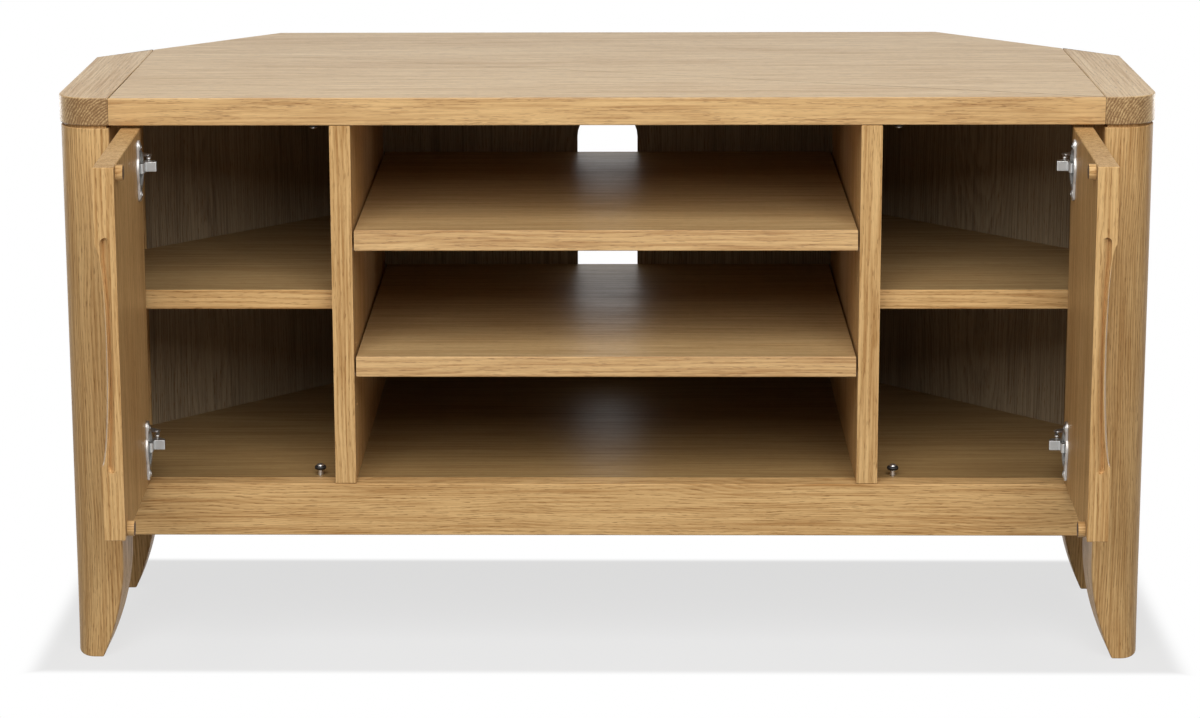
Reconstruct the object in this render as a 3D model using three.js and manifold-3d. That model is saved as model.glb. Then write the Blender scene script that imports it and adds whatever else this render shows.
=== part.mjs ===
// Corner television cabinet in oak. A three-piece top stands on four tapered legs, over an open
// centre bay with two shelves and a cupboard with an inset door on either side of it.
// Millimetres. X runs to the right, Y runs back from the front edge of the top, Z runs up from
// the floor. The finished group is moved along Y so that its box is centred on the origin.
import * as THREE from 'three';
import { mergeVertices } from 'three/addons/utils/BufferGeometryUtils.js';
import Module from 'manifold-3d';

const wasm = await Module();
wasm.setup();

// Overall sizes
const cabinetWidth = 1100;
const cabinetHeight = 585;
const cabinetDepth = 450;
const sideDepth = 270;
const topThickness = 28;
const endCapWidth = 54;
const topCornerRadius = 37;
const topChamfer = 1.2;

// Fits and finish
const seatGap = 0.3;
const reveal = 1;
const edgeChamfer = 0.8;
const cutOverrun = 2;
const weldDistance = 0.0001;
const roundSteps = 24;
const smallRoundSteps = 14;
const cornerSteps = 8;
const edgeSteps = 3;

// Legs
const frontLegDepth = 70;
const rearLegDepth = 40;
const legEdgeRadius = 2.5;
const legNeckHeight = 3;
const legNeckInset = 3;
const legTaperHeight = 105;
const legTaperInset = 23.5;
const legTaperSteps = 9;

// Carcass boards
const railBottom = 131.5;
const railHeight = 54.5;
const railThickness = 25;
const bottomBoardThickness = 21;
const sidePanelThickness = 20;
const sidePanelInset = 5;
const angledBackThickness = 20;
const centreBackThickness = 10;
const partitionThickness = 21;
const cableSlotWidth = 68;
const cableSlotLength = 259;

// Shelves and their supports
const shelfThickness = 21;
const shelfEndGap = 2;
const upperShelfTop = 450;
const lowerShelfTop = 319.5;
const sideShelfThickness = 20;
const sideShelfTop = 382.5;
const sideShelfSetback = 29;
const pinSetback = 28;
const pinDiameter = 5;
const pinReach = 9;
const pinDepth = 8;
const pinCollarDiameter = 8;
const pinCollarSheet = 1.2;
const pinHoleClearance = 0.4;
const pinHolePitch = 32;

// Doors, measured in plan from the inner face of the leg (u) and from the front of the top (v)
const doorThickness = 20;
const doorSideGap = 2;
const doorEndGap = 3.5;
const doorOpenAngle = THREE.MathUtils.degToRad(88.4);
const hingeAxisU = 10.6;
const hingeAxisV = 0.6;
const gripScoopLength = 216;
const gripScoopWidth = 56;
const gripScoopDepth = 8.5;
const gripLip = 0.6;
const gripHookLength = 230;
const gripHookNear = 5;
const gripHookFar = 14.5;
const gripHookDepth = 6;
const gripHookFloorShare = 0.22;
const gripRampPower = 1.6;
const gripRampSteps = 5;
const gripSteps = 30;

// Strike pegs on the doors and the rubber-ringed catch posts that they close against
const pegDiameter = 15;
const pegHeight = 7;
const pegFromDoorEnd = 7.8;
const pegChamfer = 0.6;
const catchFromPartition = 18.5;
const catchStemRadius = 2.9;
const catchStemHeights = { lower: 5.9, upper: 3 };
const catchRingRadius = 6;
const catchRingHeight = 4;
const catchDomeRadius = 3.9;
const catchDomeHeight = 1.9;

// Cup hinges
const hingeFromDoorEnd = 38;
const cupDiameter = 35;
const doorSkin = 7.8;
const cupWall = 1;
const cupFromDoorEdge = 23.5;
const flangeSheet = 2.4;
const flangeRim = 2;
const flangeWingHeight = 62;
const flangeWingWidth = 14;
const flangeWingShift = 8;
const linkHeight = 9.8;
const linkRootWidth = 7;
const linkRootShift = 4;
const linkPlateWidth = 13;
const linkFrom = 1.2;
const linkTo = 13;
const linkSheet = 2.2;
const linkBevel = 6;
const armSheet = 1.8;
const armCupClearance = 0.6;
const armNoseWidth = 5.2;
const armNoseLength = 15;
const armWidth = 6;
const armRun = 28;
const mountBlockHeight = 10;
const mountBlockWidth = 14;
const mountBlockStart = 38;
const mountWingSheet = 2;
const mountWingWidth = 14;
const mountWingHeight = 46;
const mountWingRadius = 5;

// Places worked out from the sizes above
const halfWidth = cabinetWidth / 2;
const topUnderside = cabinetHeight - topThickness;
const jointX = halfWidth - endCapWidth;
const backHalfWidth = halfWidth - (cabinetDepth - sideDepth);
const legOuterX = halfWidth - reveal;
const rearLegBack = sideDepth - reveal;
const rearLegFront = rearLegBack - rearLegDepth;
const boardTop = railBottom + railHeight;
const bodyTop = topUnderside - seatGap;
const railBack = reveal + railThickness;
const frontLegBack = reveal + frontLegDepth;
const sidePanelOuterX = legOuterX - sidePanelInset;
const sidePanelInnerX = sidePanelOuterX - sidePanelThickness;
const centreBackRear = cabinetDepth - reveal;
const centreBackFront = centreBackRear - centreBackThickness;
const angledStep = angledBackThickness * Math.SQRT2;
const angledMeetX = jointX - (centreBackRear - rearLegFront);
const partitionOuterX = angledMeetX - seatGap;
const partitionInnerX = partitionOuterX - partitionThickness;
const doorOpening = jointX - partitionOuterX;
const doorWidth = doorOpening - 2 * doorSideGap;
const doorBottom = boardTop + doorEndGap;
const doorTop = topUnderside - doorEndGap;
const doorFrontV = reveal;
const doorBackV = reveal + doorThickness;
const doorMiddle = (doorBottom + doorTop) / 2;
const hingeLevels = { upper: doorTop - hingeFromDoorEnd, lower: doorBottom + hingeFromDoorEnd };
const cupCentreU = doorSideGap + cupFromDoorEdge;
const doorFreeU = doorSideGap + doorWidth;
const cupDepth = doorThickness - doorSkin;
const cupRimV = doorBackV + seatGap;
const cupHollowRadius = cupDiameter / 2 - cupWall;
const cupFloorV = cupRimV - cupDepth + cupWall;
const armHalfHeight = linkHeight / 2 + seatGap + armSheet;
const armNoseOuter = cupCentreU - armCupClearance
  + Math.sqrt(cupHollowRadius ** 2 - armHalfHeight ** 2);
const catchX = partitionOuterX + catchFromPartition;
const catchY = doorBackV + seatGap + pegHeight + seatGap + catchRingRadius;

const sides = [{ name: 'left', sign: -1 }, { name: 'right', sign: 1 }];

// Materials
const finish = (color, roughness, metalness) => () => (
  new THREE.MeshStandardMaterial({ color, roughness, metalness })
);
const oak = finish(0xc69a61, 0.55, 0);
const oakSolid = finish(0xbd8e55, 0.55, 0);
const oakInside = finish(0xb08550, 0.62, 0);
const steel = finish(0xc4c6c8, 0.25, 1);
const rubber = finish(0x141416, 0.6, 0);

const cabinet = new THREE.Group();

// Adds one named piece to a parent group and returns it
function addPiece(parent, name, geometry, makeMaterial) {
  const mesh = new THREE.Mesh(geometry, makeMaterial());
  mesh.name = name;
  parent.add(mesh);
  return mesh;
}

// A closed outline through a list of [x, y] points
function outline(points) {
  const shape = new THREE.Shape();
  points.forEach(([x, y], i) => (i === 0 ? shape.moveTo(x, y) : shape.lineTo(x, y)));
  shape.closePath();
  return shape;
}

// Points along a circular arc, both ends included
function arcPoints(x, y, radius, start, end, steps) {
  const count = Array.from({ length: steps + 1 }, (_, i) => start + ((end - start) * i) / steps);
  return count.map((angle) => [x + radius * Math.cos(angle), y + radius * Math.sin(angle)]);
}

// A flat slab: an outline in plan, lifted from one level to another, with its long edges broken
function slab(shape, bottom, top, chamfer = 0) {
  const geometry = new THREE.ExtrudeGeometry(shape, {
    depth: top - bottom - 2 * chamfer,
    bevelEnabled: chamfer > 0,
    bevelSize: chamfer,
    bevelOffset: -chamfer,
    bevelThickness: chamfer,
    bevelSegments: 1,
    curveSegments: cornerSteps,
  });
  return geometry.translate(0, 0, bottom + chamfer);
}

// A rectangular board between two corners
function board([x0, y0, z0], [x1, y1, z1], chamfer = edgeChamfer) {
  const shape = outline([[x0, y0], [x1, y0], [x1, y1], [x0, y1]]);
  return slab(shape, z0, z1, chamfer);
}

// Turns a geometry into a solid for joining and cutting
function toSolid(geometry) {
  const bare = new THREE.BufferGeometry();
  bare.setAttribute('position', geometry.getAttribute('position'));
  bare.setIndex(geometry.getIndex());
  const merged = mergeVertices(bare, weldDistance);
  const corners = merged.getIndex().array;
  const kept = [];
  for (let i = 0; i < corners.length; i += 3) {
    const [a, b, c] = corners.slice(i, i + 3);
    if (a !== b && b !== c && c !== a) kept.push(a, b, c);
  }
  const mesh = new wasm.Mesh({
    numProp: 3,
    vertProperties: Float32Array.from(merged.getAttribute('position').array),
    triVerts: Uint32Array.from(kept),
  });
  return new wasm.Manifold(mesh);
}

// Turns a solid back into a geometry with flat faces
function toGeometry(solid) {
  const mesh = solid.getMesh();
  const geometry = new THREE.BufferGeometry();
  geometry.setAttribute('position', new THREE.BufferAttribute(mesh.vertProperties, 3));
  geometry.setIndex(new THREE.BufferAttribute(mesh.triVerts, 1));
  const flat = geometry.toNonIndexed();
  flat.computeVertexNormals();
  return flat;
}

// A solid of revolution about Z from [radius, height] points that start and end on the axis
function turned(points, steps) {
  const profile = points.map(([radius, height]) => new THREE.Vector2(radius, height));
  return new THREE.LatheGeometry(profile, steps).rotateX(Math.PI / 2);
}

// A round bar along X, from one x to another
function barAlongX(radius, x0, x1, y, z, steps) {
  const bar = new THREE.CylinderGeometry(radius, radius, Math.abs(x1 - x0), steps);
  return bar.rotateZ(Math.PI / 2).translate((x0 + x1) / 2, y, z);
}

// A round bar along Y, from one y to another
function barAlongY(radius, x, y0, y1, z, steps) {
  const bar = new THREE.CylinderGeometry(radius, radius, y1 - y0, steps);
  return bar.translate(x, (y0 + y1) / 2, z);
}

// The top: a main board between two end caps, whose rear corners are cut off at 45 degrees
function topOutlineY(x) {
  return Math.min(cabinetDepth, sideDepth + halfWidth - Math.abs(x));
}

function buildTop() {
  const half = jointX - seatGap / 2;
  const boardShape = outline([
    [-half, 0], [half, 0], [half, topOutlineY(half)],
    [backHalfWidth, cabinetDepth], [-backHalfWidth, cabinetDepth], [-half, topOutlineY(half)],
  ]);
  addPiece(cabinet, 'top_board', slab(boardShape, topUnderside, cabinetHeight, topChamfer), oak);
  for (const { name, sign } of sides) {
    const inner = jointX + seatGap / 2;
    const centre = halfWidth - topCornerRadius;
    const corner = arcPoints(centre, topCornerRadius, topCornerRadius, -Math.PI / 2, 0, cornerSteps);
    const points = [[inner, 0], ...corner, [halfWidth, sideDepth], [inner, topOutlineY(inner)]];
    const shape = outline(points.map(([x, y]) => [sign * x, y]));
    const geometry = slab(shape, topUnderside, cabinetHeight, topChamfer);
    addPiece(cabinet, `top_end_cap_${name}`, geometry, oakSolid);
  }
}

// A leg is its plan cut by its front profile, which sweeps in towards the foot, with a neck
// under the top that leaves a shadow line
function legOutline(front, back, frontRadius, inset) {
  const outer = legOuterX - inset;
  const inner = jointX + inset;
  const near = front + inset;
  const far = back - inset;
  const round = Math.max(frontRadius - inset, legEdgeRadius);
  const small = legEdgeRadius;
  const quarter = Math.PI / 2;
  return [
    ...arcPoints(inner + small, near + small, small, -2 * quarter, -quarter, edgeSteps),
    ...arcPoints(outer - round, near + round, round, -quarter, 0, cornerSteps),
    ...arcPoints(outer - small, far - small, small, 0, quarter, edgeSteps),
    ...arcPoints(inner + small, far - small, small, quarter, 2 * quarter, edgeSteps),
  ];
}

function legProfile() {
  const curve = Array.from({ length: legTaperSteps + 1 }, (_, i) => {
    const share = i / legTaperSteps;
    return [jointX + legTaperInset * (1 - share) ** 2, legTaperHeight * share];
  });
  return [[halfWidth, 0], [halfWidth, cabinetHeight], [jointX - reveal, cabinetHeight],
    [jointX - reveal, legTaperHeight], ...curve.reverse()];
}

function leg(sign, front, back, frontRadius) {
  const mirror = (points) => outline(points.map(([x, y]) => [sign * x, y]));
  const shoulder = topUnderside - legNeckHeight;
  const post = slab(mirror(legOutline(front, back, frontRadius, 0)), 0, shoulder, edgeChamfer);
  const neckBottom = shoulder - cutOverrun;
  const neck = slab(mirror(legOutline(front, back, frontRadius, legNeckInset)), neckBottom, bodyTop);
  const profile = new THREE.ExtrudeGeometry(mirror(legProfile()), {
    depth: cabinetDepth, bevelEnabled: false,
  });
  profile.rotateX(Math.PI / 2).translate(0, cabinetDepth, 0);
  const whole = toSolid(post).add(toSolid(neck)).intersect(toSolid(profile));
  return toGeometry(whole);
}

function buildLegs() {
  for (const { name, sign } of sides) {
    const frontLeg = leg(sign, reveal, frontLegBack, topCornerRadius);
    addPiece(cabinet, `front_leg_${name}`, frontLeg, oakSolid);
    const rearLeg = leg(sign, rearLegFront, rearLegBack, legEdgeRadius);
    addPiece(cabinet, `rear_leg_${name}`, rearLeg, oakSolid);
  }
}

// The carcass: rail, floor, side panels, angled backs, centre back and partitions
function centreBackGeometry() {
  const half = partitionInnerX - seatGap;
  const panel = outline([[-half, railBottom], [half, railBottom], [half, bodyTop], [-half, bodyTop]]);
  const radius = cableSlotWidth / 2;
  const straight = cableSlotLength / 2 - radius;
  const middle = (boardTop + topUnderside) / 2;
  const upper = arcPoints(0, middle + straight, radius, 0, Math.PI, smallRoundSteps);
  const lower = arcPoints(0, middle - straight, radius, Math.PI, 2 * Math.PI, smallRoundSteps);
  panel.holes.push(outline([...upper, ...lower]));
  const sheet = new THREE.ExtrudeGeometry(panel, { depth: centreBackThickness, bevelEnabled: false });
  return sheet.rotateX(Math.PI / 2).translate(0, centreBackRear, 0);
}

// Plan of a board that fills one side from the middle outwards: round the front leg, along the
// side panel, round the rear leg and along the angled back
function sidePlan(sign, frontY, innerX) {
  const nearLeg = jointX - seatGap;
  const nearPanel = sidePanelInnerX - seatGap;
  const alongAngled = rearLegFront - seatGap * Math.SQRT2;
  const backY = centreBackFront - seatGap;
  const points = [
    [innerX, frontY], [nearLeg, frontY], [nearLeg, frontLegBack + seatGap],
    [nearPanel, frontLegBack + seatGap], [nearPanel, rearLegFront - seatGap],
    [nearLeg, rearLegFront - seatGap], [jointX - (backY - alongAngled), backY], [innerX, backY],
  ];
  return points.map(([x, y]) => [sign * x, y]);
}

// A partition stands on the bottom board and reaches down behind it at the back
function partitionGeometry(sign) {
  const inner = sign * partitionInnerX;
  const outer = sign * partitionOuterX;
  const front = board([inner, reveal, boardTop + seatGap], [outer, centreBackRear, bodyTop]);
  const tail = board([inner, centreBackFront, railBottom], [outer, centreBackRear, boardTop + topThickness]);
  let solid = toSolid(front).add(toSolid(tail));
  const drillRadius = (pinDiameter + pinHoleClearance) / 2;
  const from = sign * (partitionInnerX - cutOverrun);
  const to = sign * (partitionInnerX + pinDepth + seatGap);
  for (const pinZ of pinLevels()) {
    for (const step of [-pinHolePitch, 0, pinHolePitch]) {
      for (const y of pinRows()) {
        const drill = barAlongX(drillRadius, from, to, y, pinZ + step, smallRoundSteps);
        solid = solid.subtract(toSolid(drill));
      }
    }
  }
  return toGeometry(solid);
}

function buildCarcass() {
  const railHalf = jointX - seatGap;
  const rail = board([-railHalf, reveal, railBottom], [railHalf, railBack, boardTop]);
  addPiece(cabinet, 'front_rail', rail, oakSolid);

  const right = sidePlan(1, railBack + seatGap, 0).slice(1, -1);
  const left = sidePlan(-1, railBack + seatGap, 0).slice(1, -1).reverse();
  const floor = slab(outline([...right, ...left]), boardTop - bottomBoardThickness, boardTop);
  addPiece(cabinet, 'bottom_board', floor, oakInside);

  addPiece(cabinet, 'centre_back_panel', centreBackGeometry(), oakInside);
  for (const { name, sign } of sides) {
    const panelLow = [sign * sidePanelInnerX, frontLegBack + seatGap, railBottom];
    const panelHigh = [sign * sidePanelOuterX, rearLegFront - seatGap, bodyTop];
    addPiece(cabinet, `side_panel_${name}`, board(panelLow, panelHigh), oak);

    const end = jointX - seatGap;
    const angled = outline([
      [sign * end, rearLegFront + seatGap], [sign * angledMeetX, centreBackRear],
      [sign * (angledMeetX + angledStep), centreBackRear],
      [sign * end, rearLegFront + seatGap + angledStep],
    ]);
    addPiece(cabinet, `angled_back_${name}`, slab(angled, railBottom, bodyTop), oakInside);
    addPiece(cabinet, `partition_${name}`, partitionGeometry(sign), oakSolid);
  }
}

// Shelves: two adjustable ones in the centre bay and a fixed one in each cupboard
function pinLevels() {
  const drop = shelfThickness + seatGap + pinDiameter / 2;
  return [upperShelfTop - drop, lowerShelfTop - drop];
}

function pinRows() {
  return [reveal + pinSetback, centreBackFront - pinSetback];
}

// A shelf pin: a shank in the partition, a collar against it and a peg under the shelf
function pinGeometry(sign, y, z) {
  const radius = pinDiameter / 2;
  const face = partitionInnerX - seatGap;
  const collar = pinCollarDiameter / 2;
  const start = face - pinReach;
  const pin = turned([
    [0, start], [radius, start], [radius, face - pinCollarSheet], [collar, face - pinCollarSheet],
    [collar, face], [radius, face], [radius, partitionInnerX + pinDepth],
    [0, partitionInnerX + pinDepth],
  ], smallRoundSteps);
  return pin.rotateY((sign * Math.PI) / 2).translate(0, y, z);
}

function buildShelves() {
  const half = partitionInnerX - shelfEndGap;
  const shelves = { upper: upperShelfTop, lower: lowerShelfTop };
  for (const [level, top] of Object.entries(shelves)) {
    const low = [-half, reveal, top - shelfThickness];
    const high = [half, centreBackFront - seatGap, top];
    addPiece(cabinet, `centre_shelf_${level}`, board(low, high), oak);
    const pinZ = pinLevels()[Object.keys(shelves).indexOf(level)];
    const [frontRow, rearRow] = pinRows();
    for (const { name, sign } of sides) {
      for (const [place, y] of [['front', frontRow], ['rear', rearRow]]) {
        addPiece(cabinet, `${level}_shelf_pin_${name}_${place}`, pinGeometry(sign, y, pinZ), steel);
      }
    }
  }
  for (const { name, sign } of sides) {
    const plan = outline(sidePlan(sign, sideShelfSetback, partitionOuterX + seatGap));
    const shelf = slab(plan, sideShelfTop - sideShelfThickness, sideShelfTop, edgeChamfer);
    addPiece(cabinet, `side_shelf_${name}`, shelf, oak);
  }
}

// Catch posts on the floor and under the top, each with a rubber ring
function buildCatches() {
  const neckRadius = catchStemRadius - seatGap;
  const ringInner = neckRadius + seatGap;
  const halfSection = (catchRingRadius - ringInner) / 2;
  for (const { name, sign } of sides) {
    for (const [level, stemHeight] of Object.entries(catchStemHeights)) {
      const domeFoot = stemHeight + catchRingHeight + seatGap;
      const dome = arcPoints(0, 0, 1, 0, Math.PI / 2, cornerSteps).map(([c, s]) => [
        c * catchDomeRadius, domeFoot + s * catchDomeHeight,
      ]);
      dome[dome.length - 1][0] = 0;
      const post = [
        [0, seatGap], [catchStemRadius, seatGap], [catchStemRadius, stemHeight - seatGap],
        [neckRadius, stemHeight - seatGap], [neckRadius, domeFoot], ...dome,
      ];
      const ringMiddle = stemHeight + catchRingHeight / 2;
      const section = arcPoints(0, 0, 1, 0, 2 * Math.PI, cornerSteps * 2).map(([c, s]) => [
        ringInner + halfSection * (1 + c), ringMiddle + (s * catchRingHeight) / 2,
      ]);
      section[section.length - 1] = [...section[0]];
      for (const [piece, points, material] of [['post', post, steel], ['ring', section, rubber]]) {
        const geometry = turned(points, roundSteps);
        if (level === 'upper') geometry.rotateX(Math.PI);
        const z = level === 'upper' ? topUnderside : boardTop;
        geometry.translate(sign * catchX, catchY, z);
        addPiece(cabinet, `catch_${piece}_${name}_${level}`, geometry, material);
      }
    }
  }
}

// A solid through level rings, each given as its plan places and its height
function loft(rings) {
  const plan = rings[Math.floor(rings.length / 2)][0].map(([x, y]) => new THREE.Vector2(x, y));
  const clockwise = THREE.ShapeUtils.isClockWise(plan);
  const count = plan.length;
  const last = (rings.length - 1) * count;
  const points = rings.flatMap(([places, z]) => {
    const ordered = clockwise ? [...places].reverse() : places;
    return ordered.flatMap(([x, y]) => [x, y, z]);
  });
  const faces = [];
  for (let row = 0; row < last; row += count) {
    for (let i = 0; i < count; i += 1) {
      const next = (i + 1) % count;
      faces.push(row + i, row + next, row + count + next);
      faces.push(row + i, row + count + next, row + count + i);
    }
  }
  for (let i = 1; i + 1 < count; i += 1) {
    faces.push(0, i + 1, i, last, last + i, last + i + 1);
  }
  const geometry = new THREE.BufferGeometry();
  geometry.setAttribute('position', new THREE.Float32BufferAttribute(points, 3));
  geometry.setIndex(faces);
  return geometry;
}

// How far the scoop has cut into the door's edge at a height above the door's middle
function scoopReach(height) {
  const share = (2 * height) / gripScoopLength;
  return gripScoopDepth * Math.sqrt(Math.max(1 - share ** 2, 0));
}

// Rings for a grip cutter of a given length: the heights crowd towards both ends, where the
// grip is round. A section gives places as (out from the free edge, back from the front face).
function gripCutter(toDoor, length, section) {
  const rings = Array.from({ length: gripSteps + 1 }, (_, i) => {
    const height = (length / 2) * Math.sin(Math.PI * (i / gripSteps - 1 / 2));
    const places = section(height).map(([out, back]) => [doorFreeU + out, doorFrontV + back]);
    return [places.map(toDoor), doorMiddle + height];
  });
  return toSolid(loft(rings));
}

// The scoop in the door's face: a slope that is deepest at the free edge
function scoopSection(height) {
  const slope = gripScoopDepth / gripScoopWidth;
  const reach = scoopReach(height);
  return [
    [cutOverrun, reach + cutOverrun * slope], [-(reach + cutOverrun) / slope, -cutOverrun],
    [cutOverrun, -cutOverrun],
  ];
}

// The hook in the door's edge: a steep wall behind the scoop's lip, and a ramp that rises from
// its floor to the edge. Both of its ends are round.
function hookSection(height) {
  const radius = (gripHookFar - gripHookNear) / 2;
  const beyond = Math.max(Math.abs(height) - (gripHookLength / 2 - radius), 0);
  const half = Math.max(Math.sqrt(Math.max(radius ** 2 - beyond ** 2, 0)), weldDistance * 10);
  const middle = gripHookNear + radius;
  const near = Math.max(scoopReach(height) + gripLip, middle - half);
  const far = middle + half;
  const depth = (gripHookDepth * half) / radius;
  const floor = near + (far - near) * gripHookFloorShare;
  const ramp = Array.from({ length: gripRampSteps }, (_, i) => {
    const share = i / gripRampSteps;
    return [-depth * (1 - share) ** gripRampPower, floor + (far - floor) * share];
  });
  return [[cutOverrun, near], [-depth / 2, near], ...ramp, [0, far], [cutOverrun, far]];
}

// A door, built closed about its hinge axis. Its group is then turned to the open position.
// toDoor maps plan places (u, v) to the door group's own x and y.
function doorGeometry(toDoor) {
  const corners = [
    [doorSideGap, doorFrontV], [doorFreeU, doorFrontV],
    [doorFreeU, doorBackV], [doorSideGap, doorBackV],
  ];
  const shape = outline(corners.map(toDoor));
  let solid = toSolid(slab(shape, doorBottom, doorTop, edgeChamfer));
  solid = solid.subtract(gripCutter(toDoor, gripScoopLength, scoopSection));
  solid = solid.subtract(gripCutter(toDoor, gripHookLength, hookSection));
  const boreRadius = cupDiameter / 2 + seatGap;
  for (const z of Object.values(hingeLevels)) {
    const [x, y] = toDoor([cupCentreU, doorBackV]);
    const bore = barAlongY(boreRadius, x, y - cupDepth - seatGap, y + cutOverrun, z, roundSteps);
    solid = solid.subtract(toSolid(bore));
  }
  return toGeometry(solid);
}

// The cup sunk in the door, with its screw flange on the door's inner face
function cupGeometry(toDoor, z) {
  const [x, y] = toDoor([cupCentreU, doorBackV]);
  const rim = y + seatGap;
  const outerRadius = cupDiameter / 2;
  const flangeTop = rim + flangeSheet;
  const body = barAlongY(outerRadius, x, rim - cupDepth, flangeTop, z, roundSteps);
  const disc = barAlongY(outerRadius + flangeRim, x, rim, flangeTop, z, roundSteps);
  const [wingX] = toDoor([cupCentreU + flangeWingShift, doorBackV]);
  const wingRadius = flangeWingWidth / 2;
  const reach = flangeWingHeight / 2 - wingRadius;
  const wing = outline([
    ...arcPoints(wingX, reach, wingRadius, 0, Math.PI, cornerSteps),
    ...arcPoints(wingX, -reach, wingRadius, Math.PI, 2 * Math.PI, cornerSteps),
  ]);
  const wingSheet = new THREE.ExtrudeGeometry(wing, { depth: flangeSheet, bevelEnabled: false });
  wingSheet.rotateX(Math.PI / 2).translate(0, flangeTop, z);
  const floor = rim - cupDepth + cupWall;
  const hollow = barAlongY(cupHollowRadius, x, floor, flangeTop + cutOverrun, z, roundSteps);
  const plate = toSolid(body).add(toSolid(disc)).add(toSolid(wingSheet));
  return toGeometry(plate.subtract(toSolid(hollow)));
}

// The link: a root that stands on the cup's floor and bends towards the leg, where it carries an
// upright plate behind the door. It swings between the two cheeks of the arm.
function linkGeometry(toDoor, z) {
  const rootTo = cupCentreU - linkRootShift + linkRootWidth / 2;
  const rootFrom = rootTo - linkRootWidth;
  const foot = cupFloorV + seatGap;
  const near = cupRimV + flangeSheet + seatGap;
  const far = near + linkPlateWidth;
  const shape = outline([
    [rootFrom, foot], [rootTo, foot], [rootTo, near], [rootTo - linkSheet, near + linkSheet],
    [linkTo, near + linkSheet], [linkTo, far], [linkFrom + linkBevel, far],
    [linkFrom, far - linkBevel], [linkFrom, near], [rootFrom, near],
  ].map(toDoor));
  return slab(shape, z - linkHeight / 2, z + linkHeight / 2);
}

// The arm on the mounting plate: two cheeks whose noses stand in the cup of the closed door,
// joined by a web behind the link's swing
function armGeometry(toPlan, z) {
  const outer = armNoseOuter;
  const inner = outer - armNoseWidth;
  const tip = cupFloorV + 2 * seatGap;
  const neck = tip + armNoseLength;
  const base = mountBlockHeight + 2 * seatGap;
  const start = mountBlockStart;
  const round = armNoseWidth / 2;
  const noseArc = arcPoints(outer - round, tip + round, round, -Math.PI, 0, cornerSteps);
  const cheek = outline([
    ...noseArc, [outer, neck + armWidth], [base + armWidth, start + 2 * armWidth],
    [base + armWidth, start + armRun], [base, start + armRun], [base, start + armWidth / 2],
    [inner, neck],
  ].map(toPlan));
  const web = outline([
    [base, start + armWidth], [base + armWidth, start + 2 * armWidth],
    [base + armWidth, start + armRun], [base, start + armRun],
  ].map(toPlan));
  const inside = z + linkHeight / 2 + seatGap;
  const upper = toSolid(slab(cheek, inside, z + armHalfHeight));
  const lower = toSolid(slab(cheek, z - armHalfHeight, 2 * z - inside));
  const middle = toSolid(slab(web, z - armHalfHeight, z + armHalfHeight));
  return toGeometry(upper.add(lower).add(middle));
}

// The mounting plate screwed to the leg: a block that carries the arm, and two screw wings
function mountGeometry(toPlan, z) {
  const [x0, y0] = toPlan([seatGap, mountBlockStart]);
  const [x1, y1] = toPlan([seatGap + mountBlockHeight, mountBlockStart + armRun]);
  const half = mountBlockWidth / 2;
  const block = board([x0, y0, z - half], [x1, y1, z + half], 0);
  const middleY = (y0 + y1) / 2;
  const reach = mountWingHeight / 2 - mountWingRadius;
  const left = middleY - mountWingWidth / 2 + mountWingRadius;
  const right = middleY + mountWingWidth / 2 - mountWingRadius;
  const wing = outline([
    ...arcPoints(right, reach, mountWingRadius, 0, Math.PI / 2, cornerSteps),
    ...arcPoints(left, reach, mountWingRadius, Math.PI / 2, Math.PI, cornerSteps),
    ...arcPoints(left, -reach, mountWingRadius, Math.PI, 1.5 * Math.PI, cornerSteps),
    ...arcPoints(right, -reach, mountWingRadius, 1.5 * Math.PI, 2 * Math.PI, cornerSteps),
  ]);
  const sheet = new THREE.ExtrudeGeometry(wing, { depth: mountWingSheet, bevelEnabled: false });
  sheet.rotateX(Math.PI / 2).rotateZ(Math.PI / 2);
  sheet.translate(Math.min(x0, x0 + Math.sign(x1 - x0) * mountWingSheet), 0, z);
  return toGeometry(toSolid(block).add(toSolid(sheet)));
}

function pegGeometry(toDoor, z) {
  const [x, y] = toDoor([doorOpening - catchFromPartition, doorBackV + seatGap]);
  const radius = pegDiameter / 2;
  const peg = turned([
    [0, 0], [radius, 0], [radius, pegHeight - pegChamfer], [radius - pegChamfer, pegHeight],
    [0, pegHeight],
  ], roundSteps);
  return peg.rotateX(-Math.PI / 2).translate(x, y, z);
}

function buildDoors() {
  for (const { name, sign } of sides) {
    const toPlan = ([u, v]) => [sign * (jointX - u), v];
    const toDoor = ([u, v]) => [sign * (hingeAxisU - u), v - hingeAxisV];
    const door = new THREE.Group();
    const [axisX, axisY] = toPlan([hingeAxisU, hingeAxisV]);
    door.position.set(axisX, axisY, 0);
    door.rotation.z = sign * doorOpenAngle;
    cabinet.add(door);
    addPiece(door, `door_${name}`, doorGeometry(toDoor), oak);
    const pegLevels = { upper: doorTop - pegFromDoorEnd, lower: doorBottom + pegFromDoorEnd };
    for (const [level, z] of Object.entries(hingeLevels)) {
      addPiece(door, `hinge_cup_${name}_${level}`, cupGeometry(toDoor, z), steel);
      addPiece(door, `hinge_link_${name}_${level}`, linkGeometry(toDoor, z), steel);
      addPiece(door, `strike_peg_${name}_${level}`, pegGeometry(toDoor, pegLevels[level]), oakSolid);
      addPiece(cabinet, `hinge_arm_${name}_${level}`, armGeometry(toPlan, z), steel);
      addPiece(cabinet, `hinge_plate_${name}_${level}`, mountGeometry(toPlan, z), steel);
    }
  }
}

buildTop();
buildLegs();
buildCarcass();
buildShelves();
buildCatches();
buildDoors();

cabinet.updateMatrixWorld(true);
const box = new THREE.Box3().setFromObject(cabinet);
cabinet.position.y = -(box.min.y + box.max.y) / 2;

export default cabinet;
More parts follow.
